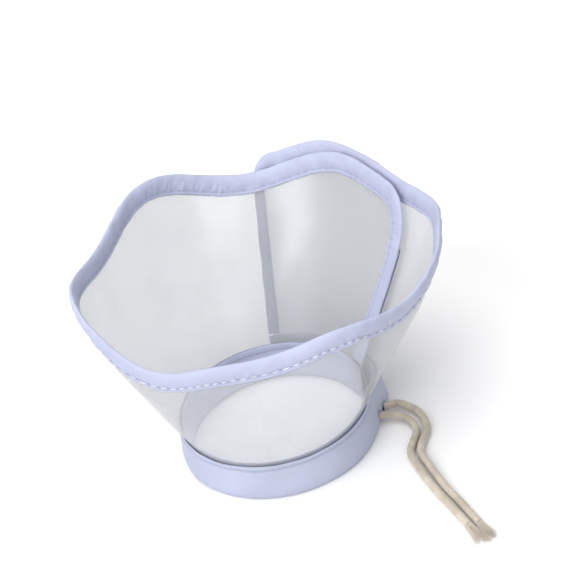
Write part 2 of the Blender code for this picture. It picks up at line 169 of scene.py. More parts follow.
def raw_point(azimuth, slant, off):
    """A point off the sheet, measured from the neck's middle; below slant 0 it is in the neck band."""
    a = math.radians(azimuth)
    radius = NECK_RADIUS + layer(azimuth, slant)
    if slant > 0.0:
        along, out = curled(azimuth, slant, off)
        radius += along * math.sin(CONE_HALF_ANGLE) + out * math.cos(CONE_HALF_ANGLE)
        height = along * math.cos(CONE_HALF_ANGLE) - out * math.sin(CONE_HALF_ANGLE)
        for order, c, s in ROUND_WAVES:
            radius += (c * math.cos(order * a) + s * math.sin(order * a)) * slant / SLANT
    else:
        radius += off
        height = slant
    lean = CONE_LEAN * max(height, 0.0)
    return Vector((radius * math.cos(a) + lean, radius * math.sin(a), BAND_HEIGHT + height))


def collar_centre():
    """The middle of the rim's box, put on the table."""
    rim = []
    for degree in range(int(INNER_EDGE_RIM), int(OUTER_EDGE_RIM) + 1):
        rim.append(raw_point(degree, rim_slant(degree), RIM_TAPE_OUT))
    low = Vector(min(p[k] for p in rim) for k in range(3))
    high = Vector(max(p[k] for p in rim) for k in range(3))
    middle = (low + high) / 2
    return Vector((middle.x, middle.y, 0.0))


CENTRE = collar_centre()
NECK_CENTRE = Vector((0.0, 0.0, BAND_HEIGHT)) - CENTRE


# Dents of the soft film: depth, how often they come round the cone, height of one, place in the noise.
WIDE_DENTS = (1.3 * MM, 1.7, 60.0 * MM, 0.0)
SMALL_DENTS = (0.35 * MM, 5.0, 45.0 * MM, 9.0)
DENT_FADE = 35.0 * MM  # they fade out over this slant, at the neck and towards the rim
DENT_START = 6.0 * MM
RIM_DENT = 0.15  # the share of them that is left at the rim


def ripple(azimuth, slant):
    """Depth of the film's dents. They close on themselves, so that the two layers dent alike."""
    a = math.radians(azimuth)
    depth = 0.0
    for deepest, often, height, seed in (WIDE_DENTS, SMALL_DENTS):
        place = Vector((often * math.cos(a), often * math.sin(a), seed + slant / height))
        depth += deepest * noise.noise(place)
    above_neck = smooth((slant - DENT_START) / DENT_FADE)
    below_rim = smooth((rim_slant(azimuth) - slant) / DENT_FADE)
    return depth * above_neck * (RIM_DENT + (1.0 - RIM_DENT) * below_rim)


def point(azimuth, slant, off=0.0):
    if slant > 0.0:
        off += ripple(azimuth, slant)
    return raw_point(azimuth, slant, off) - CENTRE


def cone_radius(slant):
    return NECK_RADIUS + max(slant, 0.0) * math.sin(CONE_HALF_ANGLE)


def around(azimuth, slant, distance):
    """The azimuth a distance further round the cone at a slant."""
    return azimuth + math.degrees(distance / cone_radius(slant))


def outward(azimuth):
    return Vector((math.cos(math.radians(azimuth)), math.sin(math.radians(azimuth)), 0.0))


HEADING_REACH = 1.5 * MM  # a path's direction is measured over twice this length
STATIONS_PER_DEGREE = {"rim": 2, "neck": 4}
END_STATIONS = 40  # on an end's straight edge, and again round its corner


class Run:
    """A path in the sheet through stations (azimuth, slant and what else varies), measured in space."""

    def __init__(self, stations):
        self.stations = stations
        points = [point(station[0], station[1]) for station in stations]
        self.lengths = [0.0]
        for a, b in zip(points, points[1:]):
            self.lengths.append(self.lengths[-1] + (b - a).length)
        self.total = self.lengths[-1]

    def at(self, length):
        """The station at a length."""
        length = min(self.total, max(0.0, length))
        k = min(bisect.bisect_right(self.lengths, length), len(self.lengths) - 1) - 1
        part = (length - self.lengths[k]) / (self.lengths[k + 1] - self.lengths[k])
        return [a + (b - a) * part for a, b in zip(self.stations[k], self.stations[k + 1])]

    def length_at(self, azimuth):
        """The length at which the path first comes down to an azimuth."""
        for k, (a, b) in enumerate(zip(self.stations, self.stations[1:])):
            if a[0] >= azimuth > b[0]:
                part = (a[0] - azimuth) / (a[0] - b[0])
                return self.lengths[k] + (self.lengths[k + 1] - self.lengths[k]) * part
        return self.total

    def spaced(self, first, last, spacing):
        """Lengths about a spacing apart, from first to last."""
        count = max(2, round((last - first) / spacing))
        return [first + (last - first) * k / count for k in range(count + 1)]

    def heading(self, length):
        """Unit direction of the path at a length: along the azimuths, and up the slant."""
        before, after = self.at(length - HEADING_REACH), self.at(length + HEADING_REACH)
        run = math.radians(after[0] - before[0]) * cone_radius(before[1])
        rise = after[1] - before[1]
        size = math.hypot(run, rise)
        return run / size, rise / size

    def inwards(self, length, distance, off):
        """A point a distance in from the path, square to it in the sheet."""
        run, rise = self.heading(length)
        azimuth, slant = self.at(length)[:2]
        return point(around(azimuth, slant, -rise * distance), slant + run * distance, off)


def end_stations(edge, edge_rim, foot, tape):
    """Stations of one end from its foot up: the straight edge, then the corner, short of the rim."""
    stations = []
    for k in range(END_STATIONS):
        slant = END_TAPE_FOOT + (foot - END_TAPE_FOOT) * k / END_STATIONS
        stations.append((edge, slant, tape, END_FULLNESS))
    for k in range(END_STATIONS):
        turn, share = math.pi / 2 * k / END_STATIONS, smooth(k / END_STATIONS)
        azimuth = edge + (edge_rim - edge) * (1.0 - math.cos(turn))
        slant = foot + (rim_slant(edge_rim) - foot) * math.sin(turn)
        width = tape + (RIM_TAPE - tape) * share
        stations.append((azimuth, slant, width, END_FULLNESS + (1.0 - END_FULLNESS) * share))
    return stations


def bound_edge():
    """Stations of the bound edge: up the outer end, along the rim and down the inner end.

    Each has the tape's width and how full its fold is.
    """
    rim = []
    count = round((OUTER_EDGE_RIM - INNER_EDGE_RIM) * STATIONS_PER_DEGREE["rim"])
    for k in range(count + 1):
        azimuth = OUTER_EDGE_RIM + (INNER_EDGE_RIM - OUTER_EDGE_RIM) * k / count
        rim.append((azimuth, rim_slant(azimuth), RIM_TAPE, 1.0))
    outer_foot = rim_slant(OUTER_EDGE_RIM) - OUTER_CORNER
    outer = end_stations(OUTER_EDGE, OUTER_EDGE_RIM, outer_foot, OUTER_END_TAPE)
    inner = end_stations(INNER_EDGE, INNER_EDGE_RIM, INNER_CORNER_FOOT, INNER_END_TAPE)
    return outer + rim + inner[::-1]


def neck_stations():
    """Stations along the neck band's foot, from the outer end to the inner one."""
    count = round((OUTER_EDGE - INNER_EDGE) * STATIONS_PER_DEGREE["neck"])
    return [(OUTER_EDGE + (INNER_EDGE - OUTER_EDGE) * k / count, -BAND_HEIGHT) for k in range(count + 1)]


EDGE = Run(bound_edge())
NECK = Run(neck_stations())
# the lengths of a run that each half covers
EDGE_HALVES = {"outer": (0.0, EDGE.length_at(SPLIT)), "inner": (EDGE.length_at(SPLIT), EDGE.total)}
NECK_HALVES = {"outer": (0.0, NECK.length_at(SPLIT)), "inner": (NECK.length_at(SPLIT), NECK.total)}


# -------- mesh building
def finish_mesh(name, maker, material, sharp=50.0):
    """Make an object of a bmesh; edges that turn by more than sharp degrees stay crisp."""
    bmesh.ops.recalc_face_normals(maker, faces=maker.faces)
    mesh = bpy.data.meshes.new(name)
    maker.to_mesh(mesh)
    maker.free()
    mesh.shade_smooth()
    mesh.set_sharp_from_angle(angle=math.radians(sharp))
    mesh.materials.append(material)
    thing = bpy.data.objects.new(name, mesh)
    bpy.context.scene.collection.objects.link(thing)
    return thing


def arc_lengths(points):
    """How far along a line each of its points is, in centimetres."""
    lengths = [0.0]
    for a, b in zip(points, points[1:]):
        lengths.append(lengths[-1] + (b - a).length * 100)
    return lengths


def add_sweep(maker, rings, shades=None):
    """Skin a list of closed rings of points. The UVs are arc lengths in centimetres.

    shades[i][k] is the painted shade of point k of ring i: how bright it makes the fabric's colour.
    """
    uv = maker.loops.layers.uv.verify()
    shade = maker.verts.layers.float.get("shade") or maker.verts.layers.float.new("shade")
    along = arc_lengths([ring[0] for ring in rings])
    middle = rings[len(rings) // 2]
    across = arc_lengths(middle + middle[:1])
    grid = []
    for i, ring in enumerate(rings):
        row = []
        for k, p in enumerate(ring):
            vertex = maker.verts.new(p)
            vertex[shade] = shades[i][k] if shades else 1.0
            row.append(vertex)
        grid.append(row)
    count = len(grid[0])
    for i in range(len(grid) - 1):
        for k in range(count):
            nxt = (k + 1) % count
            face = maker.faces.new((grid[i][k], grid[i + 1][k], grid[i + 1][nxt], grid[i][nxt]))
            corners = ((i, k), (i + 1, k), (i + 1, k + 1), (i, k + 1))
            for loop, (u, v) in zip(face.loops, corners):
                loop[uv].uv = (along[u], across[v])
    maker.faces.new(grid[0])
    maker.faces.new(grid[-1])


def sweep(name, rings, material, shades=None, sharp=50.0):
    maker = bmesh.new()
    add_sweep(maker, rings, shades)
    return finish_mesh(name, maker, material, sharp)


def tube_rings(route, radius_at, sides, up=Vector((0, 0, 1))):
    """Rings of a tube along a route; radius_at(distance, turn) gives its radius."""
    rings, distance = [], 0.0
    side = None
    for k, p in enumerate(route):
        ahead = route[min(k + 1, len(route) - 1)] - route[max(k - 1, 0)]
        ahead.normalize()
        if side is None:
            side = ahead.cross(up).normalized()
        side = (side - ahead * side.dot(ahead)).normalized()
        over = side.cross(ahead)
        if k:
            distance += (p - route[k - 1]).length
        ring = []
        for j in range(sides):
            turn = 2 * math.pi * j / sides
            radius = radius_at(distance, turn)
            ring.append(p + (side * math.cos(turn) + over * math.sin(turn)) * radius)
        rings.append(ring)
    return rings


def smooth_route(knots, spacing):
    """Points a given spacing apart along a Catmull-Rom curve through the knots."""
    ends = [knots[0] * 2 - knots[1]] + knots + [knots[-1] * 2 - knots[-2]]
    route = [knots[0]]
    for a, b, c, d in zip(ends, ends[1:], ends[2:], ends[3:]):
        pieces = max(1, round((c - b).length / spacing))
        for k in range(1, pieces + 1):
            t = k / pieces
            bend = (b * 2) + (c - a) * t + (a * 2 - b * 5 + c * 4 - d) * t * t
            route.append((bend + (b * 3 - a - c * 3 + d) * t * t * t) / 2)
    return route


# -------- materials
def new_material(name, **values):
    """A Principled material with plain values; returns it with its node tree and shader."""
    material = bpy.data.materials.new(name)
    material.use_nodes = True
    tree = material.node_tree
    shader = tree.nodes["Principled BSDF"]
    for socket, value in values.items():
        shader.inputs[socket.replace("_", " ")].default_value = value
    return material, tree, shader


def add_node(tree, kind, values=None, **settings):
    node = tree.nodes.new(kind)
    for key, value in settings.items():
        setattr(node, key, value)
    for socket, value in (values or {}).items():
        node.inputs[socket].default_value = value
    return node


def scaled_noise(tree, source, scale, detail=3.0):
    texture = add_node(tree, "ShaderNodeTexNoise", {"Scale": scale, "Detail": detail})
    tree.links.new(source, texture.inputs["Vector"])
    return texture.outputs["Fac"]


def map_range(tree, source, low, high, to_low, to_high):
    values = {"From Min": low, "From Max": high, "To Min": to_low, "To Max": to_high}
    node = add_node(tree, "ShaderNodeMapRange", values)
    tree.links.new(source, node.inputs["Value"])
    return node.outputs["Result"]


def math_node(tree, operation, a, b):
    node = add_node(tree, "ShaderNodeMath", operation=operation)
    for socket, value in zip(node.inputs, (a, b)):
        if isinstance(value, (int, float)):
            socket.default_value = value
        else:
            tree.links.new(value, socket)
    return node.outputs["Value"]


def weighted(tree, first, *others):
    """The sum of a value and of others, each of them with its weight."""
    total = first
    for value, weight in others:
        total = math_node(tree, "ADD", total, math_node(tree, "MULTIPLY", value, weight))
    return total


def mix_colours(tree, factor, dark, light):
    """Mixes two colours; the light one may be another node's output."""
    node = add_node(tree, "ShaderNodeMix", {"A": (*dark, 1.0)}, data_type="RGBA")
    if isinstance(light, tuple):
        node.inputs["B"].default_value = (*light, 1.0)
    else:
        tree.links.new(light, node.inputs["B"])
    tree.links.new(factor, node.inputs["Factor"])
    return node.outputs["Result"]


def raise_surface(tree, shader, height, strength, distance):
    """Bump the surface by a height."""
    raised = add_node(tree, "ShaderNodeBump", {"Strength": strength, "Distance": distance})
    tree.links.new(height, raised.inputs["Height"])
    tree.links.new(raised.outputs["Normal"], shader.inputs["Normal"])


CLOUD_DARK = 0.84  # the fabric's colour varies between these shares of itself
CLOUD_LIGHT = 1.06
ROUGHNESS_SPREAD = 0.07


def woven(name, colour, shadow, pitch, roughness, sheen):
    """Woven fabric: crossing threads a pitch apart, in cm, cloudy colour, and painted shade in its shadow
    colour where the piece's shade attribute says so.
    """
    material, tree, shader = new_material(
        name, Roughness=roughness, Sheen_Weight=sheen, Sheen_Roughness=0.45, Sheen_Tint=(*colour, 1.0),
        Specular_IOR_Level=0.35,
    )
    links = tree.links
    place = add_node(tree, "ShaderNodeTexCoord")
    threads = []
    for direction in ("X", "Y"):
        values = {"Scale": 3.14 / pitch, "Distortion": 0.6, "Detail Scale": 2.0}
        wave = add_node(tree, "ShaderNodeTexWave", values, bands_direction=direction)
        links.new(place.outputs["UV"], wave.inputs["Vector"])
        threads.append(wave.outputs["Fac"])
    weave = math_node(tree, "MULTIPLY", threads[0], threads[1])
    cloud = scaled_noise(tree, place.outputs["Object"], 60.0)
    fine = scaled_noise(tree, place.outputs["Object"], 900.0, 2.0)
    tone = weighted(tree, math_node(tree, "MULTIPLY", cloud, 0.5), (fine, 0.22), (weave, 0.12))
    tone = map_range(tree, tone, 0.15, 0.65, 0.0, 1.0)
    deep, bright = tuple(c * CLOUD_DARK for c in colour), tuple(min(1.0, c * CLOUD_LIGHT) for c in colour)
    # painted shade: the shade attribute mixes the cloth towards the shadow colour
    depth = add_node(tree, "ShaderNodeAttribute", attribute_name="shade")
    shaded = mix_colours(tree, depth.outputs["Fac"], shadow, mix_colours(tree, tone, deep, bright))
    links.new(shaded, shader.inputs["Base Color"])
    rough = map_range(tree, cloud, 0.2, 0.8, roughness - ROUGHNESS_SPREAD, roughness + ROUGHNESS_SPREAD)
    links.new(rough, shader.inputs["Roughness"])
    raise_surface(tree, shader, weighted(tree, weave, (fine, 0.5)), 0.35, 0.06 * MM)
    return material


FILM_TINT = (0.895, 0.90, 0.91, 1.0)
FILM_HAZE = (0.23, 0.30)  # the share of light that the film scatters, clearest and dullest
FILM_BODY = (0.63, 0.64, 0.66, 1.0)
MIRROR_FACING = 0.05  # the share that it mirrors, seen square on
MIRROR_STEEP = 0.30  # and what is added at the steepest slant


def clear_film():
    """Clear film: lets most light through, greys it a little, and mirrors more at a slant."""
    material, tree, shader = new_material(
        "clear_film", Roughness=0.30, IOR=1.5, Base_Color=FILM_BODY, Specular_IOR_Level=0.0,
    )
    links = tree.links
    place = add_node(tree, "ShaderNodeTexCoord")
    cloud = scaled_noise(tree, place.outputs["Object"], 22.0, 4.0)
    fine = scaled_noise(tree, place.outputs["Object"], 260.0, 2.0)
    haze = weighted(tree, map_range(tree, cloud, 0.3, 0.7, *FILM_HAZE), (fine, 0.02))
    see_through = add_node(tree, "ShaderNodeBsdfTransparent", {"Color": FILM_TINT})
    body = add_node(tree, "ShaderNodeMixShader")
    links.new(haze, body.inputs[0])
    links.new(see_through.outputs[0], body.inputs[1])
    links.new(shader.outputs[0], body.inputs[2])
    gloss = add_node(tree, "ShaderNodeBsdfGlossy", {"Roughness": 0.22, "Color": (1.0, 1.0, 1.0, 1.0)})
    slant = add_node(tree, "ShaderNodeLayerWeight", {"Blend": 0.5})
    steep = math_node(tree, "POWER", slant.outputs["Facing"], 5.0)
    mirror = math_node(tree, "ADD", math_node(tree, "MULTIPLY", steep, MIRROR_STEEP), MIRROR_FACING)
    top = add_node(tree, "ShaderNodeMixShader")
    links.new(mirror, top.inputs[0])
    links.new(body.outputs[0], top.inputs[1])
    links.new(gloss.outputs[0], top.inputs[2])
    links.new(top.outputs[0], tree.nodes["Material Output"].inputs["Surface"])
    return material


def fibrous(name, colour, dark, roughness, stretch):
    """Cotton or thread: long fibres along the piece, as bump and as colour, with painted shade in the
    grooves between them and random tone from a cloud; stretch packs them closer.
    """
    material, tree, shader = new_material(
        name, Roughness=roughness, Sheen_Weight=0.35, Sheen_Roughness=0.5, Specular_IOR_Level=0.25,
    )
    place = add_node(tree, "ShaderNodeTexCoord")
    squeeze = add_node(tree, "ShaderNodeMapping", {"Scale": (stretch, stretch * 12, 1.0)})
    tree.links.new(place.outputs["UV"], squeeze.inputs["Vector"])
    strands = scaled_noise(tree, squeeze.outputs["Vector"], 4.0, 4.0)
    cloud = scaled_noise(tree, place.outputs["Object"], 140.0, 3.0)
    # painted shade: the fibres' grooves, low in the bump, take the dark colour; the cloud adds random tone
    tone = weighted(tree, math_node(tree, "MULTIPLY", strands, 0.6), (cloud, 0.4))
    tone = map_range(tree, tone, 0.36, 0.60, 0.0, 1.0)
    tree.links.new(mix_colours(tree, tone, dark, colour), shader.inputs["Base Color"])
    rough = map_range(tree, cloud, 0.2, 0.8, roughness - 0.08, min(1.0, roughness + 0.05))
    tree.links.new(rough, shader.inputs["Roughness"])
    raise_surface(tree, shader, strands, 0.5, 0.12 * MM)
    return material


LAVENDER = (0.450, 0.480, 0.635)
BAND_LAVENDER = (0.485, 0.515, 0.660)
# colour of the painted shade in the lavender fabrics' seams, creases and hidden insides
LAVENDER_SHADOW = (0.20, 0.215, 0.33)
film_look = clear_film()
# fabrics: colour, colour of their painted shade, thread pitch in centimetres, roughness, sheen
tape_look = woven("lavender_tape", LAVENDER, LAVENDER_SHADOW, 0.035, 0.52, 0.30)
band_look = woven("lavender_band", BAND_LAVENDER, LAVENDER_SHADOW, 0.045, 0.60, 0.35)
hook_look = woven("hook_tape", (0.50, 0.52, 0.68), (0.34, 0.36, 0.50), 0.05, 0.55, 0.1)
loop_look = woven("loop_tape", (0.55, 0.57, 0.74), (0.38, 0.40, 0.56), 0.05, 0.85, 0.6)
# threads and cords: colour, painted shade colour of the grooves between fibres, roughness, stretch
white_thread = fibrous("white_thread", (0.80, 0.81, 0.86), (0.56, 0.58, 0.66), 0.55, 8.0)
lavender_thread = fibrous("lavender_thread", (0.46, 0.48, 0.65), (0.34, 0.36, 0.50), 0.6, 8.0)
cotton = fibrous("cotton_cord", (0.64, 0.57, 0.48), (0.38, 0.33, 0.26), 0.88, 3.0)
frayed_cotton = fibrous("frayed_cotton", (0.72, 0.66, 0.57), (0.50, 0.44, 0.36), 0.92, 6.0)


# -------- how pieces take the place of CAD nodes
BEND_REACH = 7.0  # the sheet turns over this many degrees on each side of a bend line


def follow(piece, half, slot, *nodes):
    """Bake a long piece's transform into its mesh and hide the CAD nodes that its outer or inner half stands
    for.
    """
    if half == "outer":
        start, end = (point(OUTER_BEND + turn, SLANT / 2) for turn in (BEND_REACH, -BEND_REACH))
        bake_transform(piece)
        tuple(start)
        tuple(end)
    else:
        start, end = (point(INNER_BEND + turn, SLANT / 2) for turn in (BEND_REACH, -BEND_REACH))
        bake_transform(piece)
        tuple(start)
        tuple(end)
    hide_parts(*nodes)
    return piece


def ride(piece, body, slot, *nodes):
    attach(piece, body)
    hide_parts(*nodes)
    return piece


def half_nodes(kind, half):
    """The CAD nodes that a half stands for: the fixed run counts with both halves."""
    return [f"{kind}_main", f"{kind}_{half}_end"]


# -------- film
TAPE_ROOM = 1.9 * MM  # the film's edges stop this far inside the tape's fold
CORNER_ROOM = 3.4 * MM  # and its corners this far below it
FILM_IN_BAND = 7.2 * MM  # it reaches this far down into the neck band
FILM_COLUMN = 0.75  # degrees from one column of its mesh to the next
FILM_ROWS = 40
FOLD_ROWS = (-1.0, -0.5, 0.0, 0.01, 0.03)  # rows in the band, as shares of its reach, then of its height


def film_start(slant):
    """Azimuth of the film's edge in the outer end's tape."""
    return around(outer_edge(slant + CORNER_ROOM), slant, -TAPE_ROOM)


def film_stop(slant):
    return around(inner_edge(slant + CORNER_ROOM), slant, TAPE_ROOM)


def make_film(half):
    """Half of the film, as a thin closed sheet; its first and last columns follow the ends' edges."""
    ends = {"outer": (film_start, lambda slant: SPLIT), "inner": (lambda slant: SPLIT, film_stop)}
    start, stop = ends[half]
    rim_start, rim_stop = start(SLANT * 2), stop(SLANT * 2)
    count = round((start(0.0) - stop(0.0)) / FILM_COLUMN)
    last = FOLD_ROWS[-1]
    shares = list(FOLD_ROWS) + [last + (1.0 - last) * k / FILM_ROWS for k in range(1, FILM_ROWS + 1)]
    rings = []
    for column in range(count + 1):
        part = column / count
        top = rim_slant(rim_start + (rim_stop - rim_start) * part) - TAPE_ROOM
        outside, inside = [], []
        for share in shares:
            slant = FILM_IN_BAND * share if share < 0 else top * share
            azimuth = start(slant) + (stop(slant) - start(slant)) * part
            outside.append(point(azimuth, slant, FILM / 2))
            inside.append(point(azimuth, slant, -FILM / 2))
        rings.append(outside + inside[::-1])
    piece = sweep(f"film_sheet_{half}", rings, film_look, sharp=60.0)
    return follow(piece, half, "clear_film", *half_nodes("film", half))


# -------- folded tape
# The tape's two faces: distance below the crest, as a share of its width, and millimetres off the film.
TAPE_OUTSIDE = (
    (1.000, 0.50), (0.985, 0.92), (0.940, 1.22), (0.870, 1.18), (0.785, 0.84), (0.700, 1.16),
    (0.590, 1.55), (0.450, 1.74), (0.310, 1.70), (0.190, 1.46), (0.095, 1.08), (0.030, 0.62),
)
TAPE_INSIDE = (
    (0.030, 0.60), (0.095, 1.00), (0.190, 1.30), (0.310, 1.46), (0.450, 1.46), (0.590, 1.32), (0.720, 1.08),
    (0.820, 0.84), (0.900, 1.06), (0.975, 1.02), (1.020, 0.52),
)
TAPE_CAVITY = ((1.0, -0.36), (0.6, -0.40), (0.2, -0.34), (0.12, 0.0), (0.2, 0.34), (0.6, 0.40), (0.98, 0.36))
SEAM_AT = 0.785  # the topstitching's share of the tape's width below the crest
INSIDE_SEAM_AT = 0.820
STITCH_PERIOD = 4.7 * MM
TAPE_SPACING = 0.6 * MM  # from one section of the tape's mesh to the next
FINE_GATHER = 0.60  # height of the puckers at the stitches, in millimetres, and their width
FINE_WIDTH = 1.9 * MM
WIDE_GATHER = 0.65
WIDE_WIDTH = 6.5 * MM
GATHER_AT = 0.66  # share of the tape's width where the fine puckers are strongest
NEEDLE_DEPTH = 0.22  # how far the thread pulls the tape in, in millimetres
LEAST_FACE = 0.45  # the tape's faces stay this far off the film, in millimetres
HEM_WAVER = 0.035  # how far the hems wander, as a share of the tape's width
CREST_WAVER = 0.30 * MM
CUT_ROUNDING = 1.5 * MM
CUT_FACE = 0.35  # share of a tape's thickness at its very end


def gathers(length, share, side):
    """Small puckers of the tape, in millimetres, strongest between the stitches and the fold."""
    slide = length + side * 0.8 * MM + share * 3 * MM
    fine = noise.noise(Vector((slide / FINE_WIDTH, share * 1.4, 4.0 * side)))
    wide = noise.noise(Vector((length / WIDE_WIDTH, share * 1.3, 11.0 + 4.0 * side)))
    return FINE_GATHER * fine * bump(share, GATHER_AT, 0.20) + WIDE_GATHER * wide * (1.0 - share * 0.4)


def needle(length, share, seam):
    """1 where the thread goes through the tape, falling to 0 round it."""
    phase = 2 * math.pi * length / STITCH_PERIOD
    return (0.5 - 0.5 * math.cos(phase)) ** 3 * bump(share, seam, 0.06)


def tape_ring(length):
    """One section of the folded tape: outer face, crest, inner face and the room for the film."""
    _, _, width, full = EDGE.at(length)
    end = cut_end(min(length, EDGE.total - length))
    hem = HEM_WAVER * noise.noise(Vector((length / (9 * MM), 3.3, 0.0)))
    crest = CREST_WAVER * noise.noise(Vector((length / (11 * MM), 7.7, 0.0)))
    ring = []
    for side, faces, seam in ((1.0, TAPE_OUTSIDE, SEAM_AT), (-1.0, TAPE_INSIDE, INSIDE_SEAM_AT)):
        for share, height in faces:
            high = (height + gathers(length, share, side)) * full
            high -= NEEDLE_DEPTH * needle(length, share, seam)
            low = share + side * hem * smooth((share - 0.6) / 0.3)
            off = side * max(LEAST_FACE, high * end) * MM
            ring.append(EDGE.inwards(length, low * width - crest * (1 - share), off))
        if side > 0:
            ring.append(EDGE.inwards(length, -crest, 0.0))
    for share, off in TAPE_CAVITY:
        ring.append(EDGE.inwards(length, share * width, off * MM))
    return ring


def tape_shades(length):
    """How bright each point of a tape section is, as painted shade: darker in the seam's crease, at the
    needle holes' dimples and on the hidden inside round the film.
    """
    outside, inside = [], []
    for share, _ in TAPE_OUTSIDE:
        # painted shade in the seam's crease and in each needle hole's dimple
        seam = 0.35 * bump(share, SEAM_AT, 0.035)
        outside.append(1.0 - seam - 0.25 * needle(length, share, SEAM_AT))
    for share, _ in TAPE_INSIDE:
        seam = 0.30 * bump(share, INSIDE_SEAM_AT, 0.04)
        inside.append(1.0 - seam - 0.28 * needle(length, share, INSIDE_SEAM_AT))
    # the hidden faces round the film get dark painted shade
    return outside + [1.0] + inside + [0.3] * len(TAPE_CAVITY)


def cut_end(distance):
    """Share of a tape's thickness at a distance from its cut end, which is rounded off."""
    near = min(1.0, max(0.0, distance / CUT_ROUNDING))
    return CUT_FACE + (1.0 - CUT_FACE) * math.sqrt(1.0 - (1.0 - near) ** 2)


def make_binding(half):
    """The folded tape, in one run from an end's foot, round the corner and along the rim."""
    lengths = EDGE.spaced(*EDGE_HALVES[half], TAPE_SPACING)
    rings = [tape_ring(length) for length in lengths]
    shades = [tape_shades(length) for length in lengths]
    piece = sweep(f"binding_{half}", rings, tape_look, shades, 70.0)
    return follow(piece, half, "lavender_tape", *half_nodes("rim_tape", half), f"end_tape_{half}")


# -------- stitches
# A stitch's length, the distance to the next one, and its thread's radius.
TOPSTITCH = (3.1 * MM, STITCH_PERIOD, 0.30 * MM)
BAND_STITCH = (2.3 * MM, 3.1 * MM, 0.20 * MM)
STITCH_STEPS = 6
TOPSTITCH_START = 5.0 * MM  # above the outer end's foot
BAND_STITCH_ENDS = (2.5 * MM, 1.5 * MM)  # the band's ends are left unstitched


def add_stitch(maker, route, radius):
    """A short thread between two needle holes, thicker in its middle."""
    length = sum((b - a).length for a, b in zip(route, route[1:]))

    def radius_at(distance, turn):
        share = distance / length
        twist = 1.0 + 0.12 * math.cos(2 * (turn - 14.0 * share))
        return radius * twist * max(0.25, math.sin(math.pi * min(0.97, max(0.03, share))) ** 0.35)

    add_sweep(maker, tube_rings(route, radius_at, sides=7))


def stitch_row(name, at, first, last, kind, material):
    """Stitches along a run; at(length, lift, aside) gives the thread's place, lift 0 at its ends."""
    stitch, period, radius = kind
    maker = bmesh.new()
    dice = random.Random(11)
    number = math.ceil(first / period)
    while number * period + stitch / 2 < last:
        reach = stitch * dice.uniform(0.86, 1.04)
        aside = dice.gauss(0.0, 0.09) * MM
        route = []
        for k in range(STITCH_STEPS + 1):
            share = k / STITCH_STEPS
            route.append(at(number * period + (share - 0.5) * reach, math.sin(math.pi * share), aside))
        add_stitch(maker, route, radius * dice.uniform(0.85, 1.1))
        number += 1
    return finish_mesh(name, maker, material, 60.0)


def make_stitches(half):
    """The white topstitching: along the rim and, on the outer half, down the sheet's outer end."""
    def at(length, lift, aside):
        _, _, width, full = EDGE.at(length)
        over = 0.86 * full + 0.30 * lift ** 0.6 + 0.5 * gathers(length, SEAM_AT, 1.0)
        return EDGE.inwards(length, SEAM_AT * width + aside, over * MM)

    first, last = EDGE_HALVES[half]
    nodes = half_nodes("rim_thread", half)
    if half == "outer":
        first += TOPSTITCH_START
        nodes.append("end_thread_outer")
    else:
        last = EDGE.length_at(INNER_EDGE_RIM)
    piece = stitch_row(f"topstitches_{half}", at, first, last, TOPSTITCH, white_thread)
    return follow(piece, half, "white_thread", *nodes)


# -------- neck band
# Section of the folded band: distance off the film and height above the table, in millimetres.
BAND_OUTSIDE = (
    (0.62, 18.6), (0.68, 19.7), (0.95, 20.2), (1.32, 20.0), (1.48, 19.2), (1.36, 18.2), (0.98, 17.35),
    (1.42, 16.5), (1.82, 15.0), (2.00, 12.8), (2.25, 10.5), (2.65, 8.0), (2.95, 5.6), (3.02, 3.4),
    (2.75, 1.5), (2.15, 0.3), (1.40, 0.0), (0.0, 0.0),
)
BAND_INSIDE = (
    (-1.40, 0.0), (-2.15, 0.3), (-2.72, 1.5), (-2.95, 3.4), (-2.90, 5.6), (-2.55, 8.0),
    (-2.1, 10.5), (-1.82, 12.8), (-1.62, 15.0), (-1.32, 16.5), (-0.95, 17.35), (-1.25, 18.3),
    (-1.42, 19.6), (-1.34, 20.7), (-1.0, 21.0), (-0.70, 20.7), (-0.62, 19.4),
)
BAND_CAVITY = (
    (-0.62, 12.5), (-1.0, 9.8), (-2.12, 7.2), (-2.22, 3.4), (-1.6, 1.1), (0.0, 0.8), (1.6, 1.1), (2.22, 3.4),
    (2.12, 7.2), (1.0, 9.8), (0.62, 12.5),
)
SEAM_HEIGHT = 17.35
BAND_SPACING = 0.7 * MM  # from one section of the band's mesh to the next
WIDE_CREASE = 0.85  # depths in millimetres
SLANTED_CREASE = 0.32
PLEAT = 0.175  # the drawstring pleats the band round its two holes
PLEAT_PITCH = 4.2
LIP_WAVER = 0.35  # how far the band's top edge wanders
HOLE_RADIUS = 2.3 * MM
HOLE_DEPTH = 3.2 * MM


def band_wrinkle(azimuth, height, seed):
    """Soft creases of the neck band, in millimetres; none where it stands on the table."""
    length = NECK_RADIUS * math.radians(azimuth) / MM
    wide = noise.noise(Vector((length / 17.0, height / 14.0, 5.0 + seed)))
    slanted = noise.noise(Vector(((length + height * 1.1) / 5.5, height / 30.0, 15.0 + seed)))
    near_cord = bump(azimuth, sum(CORD_EXITS.values()) / 2, 16.0) ** 2
    pleats = PLEAT * near_cord * math.cos(2 * math.pi * length / PLEAT_PITCH)
    pleats *= smooth((16.0 - height) / 10.0)
    upright = smooth(height / 3.0) * smooth((20.6 - height) / 3.0)
    return (WIDE_CREASE * wide + SLANTED_CREASE * slanted + pleats) * upright


